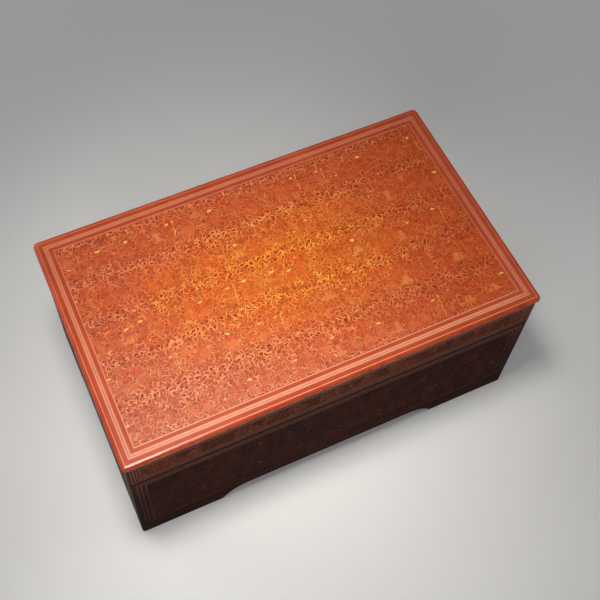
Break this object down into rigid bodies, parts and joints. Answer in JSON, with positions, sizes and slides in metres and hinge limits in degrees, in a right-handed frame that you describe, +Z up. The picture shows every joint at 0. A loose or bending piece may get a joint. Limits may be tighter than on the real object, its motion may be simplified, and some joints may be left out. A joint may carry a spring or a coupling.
{
  "type": "lacquer box",
  "caption": "Rectangular lacquered wooden box with a lift-off lid over a raised inner lip, bracket feet and a fine incised pattern in orange on red.",
  "frame": {"origin": "centre of the footprint, on the floor under the feet", "axes": "+X along the length to the right, +Y to the back, +Z up; the front faces -Y"},
  "size_m": [0.4, 0.24, 0.175],
  "materials": {
    "lid_lacquer": "polished lacquer, incised and filled with orange",
    "side_lacquer": "polished lacquer, incised and filled with dull buff",
    "inner_lacquer": "plain satin lacquer",
    "bamboo": "bare bamboo"
  },
  "bodies": {
    "box": {"front_wall": "side_lacquer", "back_wall": "side_lacquer", "left_wall": "side_lacquer", "right_wall": "side_lacquer", "floor_panel": "inner_lacquer", "front_lining": "inner_lacquer", "back_lining": "inner_lacquer", "left_lining": "inner_lacquer", "right_lining": "inner_lacquer", "front_plinth": "side_lacquer", "back_plinth": "side_lacquer", "left_plinth": "side_lacquer", "right_plinth": "side_lacquer", "plinth_pins": "bamboo"},
    "lid": {"lid_top_board": "lid_lacquer", "lid_front_rail": "side_lacquer", "lid_back_rail": "side_lacquer", "lid_left_rail": "side_lacquer", "lid_right_rail": "side_lacquer", "lid_pins": "bamboo"}
  },
  "joints": [
    {"name": "lid_lift", "type": "slide", "parent": "box", "child": "lid", "axis": [0, 0, 1], "range_m": [0, 0.15]}
  ]
}
